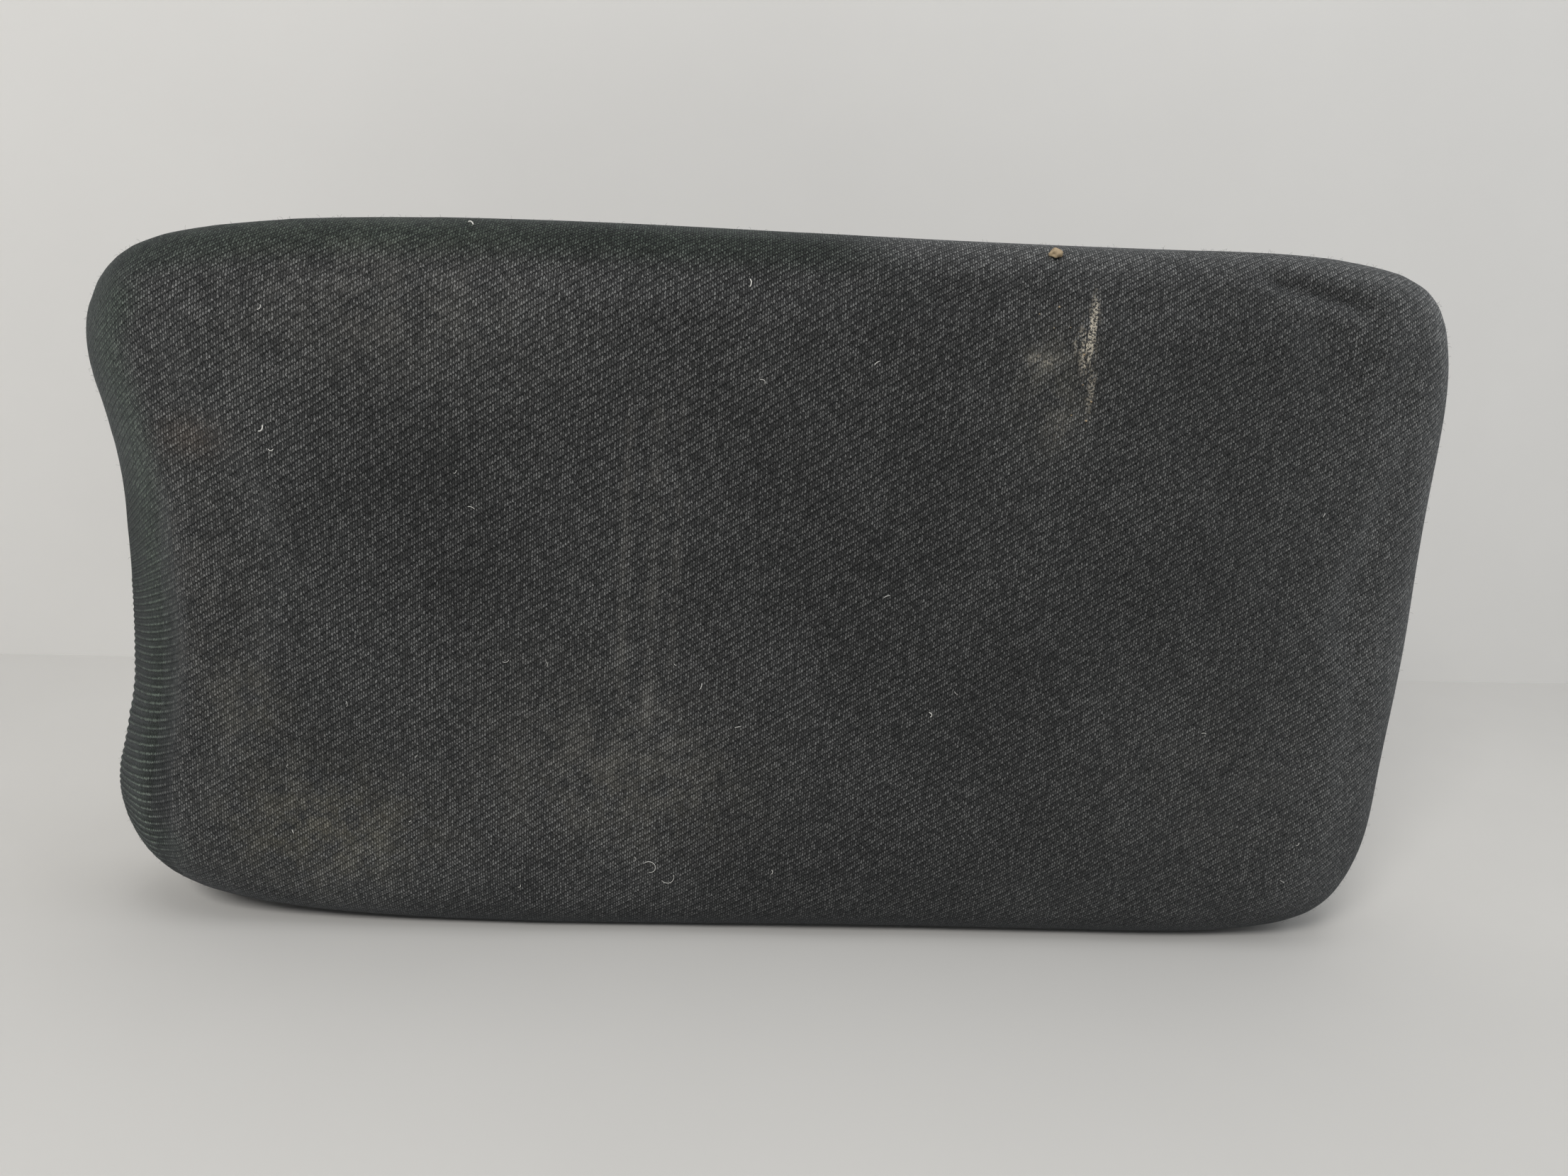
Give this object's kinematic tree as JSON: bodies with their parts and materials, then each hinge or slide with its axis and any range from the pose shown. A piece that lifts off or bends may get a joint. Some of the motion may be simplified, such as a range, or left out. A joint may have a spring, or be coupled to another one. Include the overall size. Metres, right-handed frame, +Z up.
{
  "type": "upholstered privacy panel",
  "caption": "Thick fabric-covered desk privacy panel with rounded corners and one concave end, held by two screw clamps on its back.",
  "frame": {"origin": "middle of the footprint, at the height of the underside of the two bumpers on the lower edge", "axes": "+X along the panel from its concave end to its convex end, +Y from the upholstered face to the clamps behind it, +Z up"},
  "size_m": [0.486, 0.1066, 0.2646],
  "materials": {
    "twill_fabric": "coarse charcoal twill, matte, worn and dusty",
    "foam": "matte",
    "plywood": "matte",
    "black_plastic": "fine grained satin",
    "coated_aluminium": "dark grey powder coat, satin",
    "zinc_steel": "satin",
    "brass": "satin",
    "black_rubber": "matte"
  },
  "bodies": {
    "panel": {"fabric_cover": "twill_fabric", "foam_pad": "foam", "core_board": "plywood", "staple_1": "zinc_steel", "staple_2": "zinc_steel", "staple_3": "zinc_steel", "staple_4": "zinc_steel", "staple_5": "zinc_steel", "staple_6": "zinc_steel", "staple_7": "zinc_steel", "staple_8": "zinc_steel", "staple_9": "zinc_steel", "staple_10": "zinc_steel", "staple_11": "zinc_steel", "staple_12": "zinc_steel", "rear_cover": "black_plastic", "rear_cover_screw_1": "zinc_steel", "rear_cover_screw_2": "zinc_steel", "rear_cover_screw_3": "zinc_steel", "rear_cover_screw_4": "zinc_steel", "rear_cover_screw_5": "zinc_steel", "rear_cover_screw_6": "zinc_steel", "left_bracket_bolt_1": "zinc_steel", "left_bracket_bolt_2": "zinc_steel", "left_washer_1": "zinc_steel", "left_washer_2": "zinc_steel", "left_tee_nut_1": "zinc_steel", "left_tee_nut_2": "zinc_steel", "left_clamp_bracket": "coated_aluminium", "left_jaw_pad": "black_rubber", "left_edge_bumper": "black_rubber", "left_threaded_bush": "brass", "right_bracket_bolt_1": "zinc_steel", "right_bracket_bolt_2": "zinc_steel", "right_washer_1": "zinc_steel", "right_washer_2": "zinc_steel", "right_tee_nut_1": "zinc_steel", "right_tee_nut_2": "zinc_steel", "right_clamp_bracket": "coated_aluminium", "right_jaw_pad": "black_rubber", "right_edge_bumper": "black_rubber", "right_threaded_bush": "brass"},
    "left_foot": {"left_clamp_foot": "zinc_steel", "left_foot_pad": "black_rubber"},
    "left_screw": {"left_clamp_spindle": "zinc_steel", "left_lock_nut": "zinc_steel", "left_clamp_knob": "black_plastic"},
    "right_foot": {"right_clamp_foot": "zinc_steel", "right_foot_pad": "black_rubber"},
    "right_screw": {"right_clamp_spindle": "zinc_steel", "right_lock_nut": "zinc_steel", "right_clamp_knob": "black_plastic"}
  },
  "joints": [
    {"name": "left_foot_travel", "type": "slide", "parent": "panel", "child": "left_foot", "axis": [0, 0, 1], "range_m": [0, 0.025]},
    {"name": "left_screw_turn", "type": "hinge", "parent": "left_foot", "child": "left_screw", "pos_m": [-0.13, 0.0323, 0.0655], "axis": [0, 0, 1], "range_deg": [0, 4500]},
    {"name": "right_foot_travel", "type": "slide", "parent": "panel", "child": "right_foot", "axis": [0, 0, 1], "range_m": [0, 0.025]},
    {"name": "right_screw_turn", "type": "hinge", "parent": "right_foot", "child": "right_screw", "pos_m": [0.13, 0.0323, 0.0655], "axis": [0, 0, 1], "range_deg": [0, 4500]}
  ],
  "couplings": [
    {"joint": "left_screw_turn", "follows": "left_foot_travel", "rad_per_m": 3141.6},
    {"joint": "right_screw_turn", "follows": "right_foot_travel", "rad_per_m": 3141.6}
  ]
}
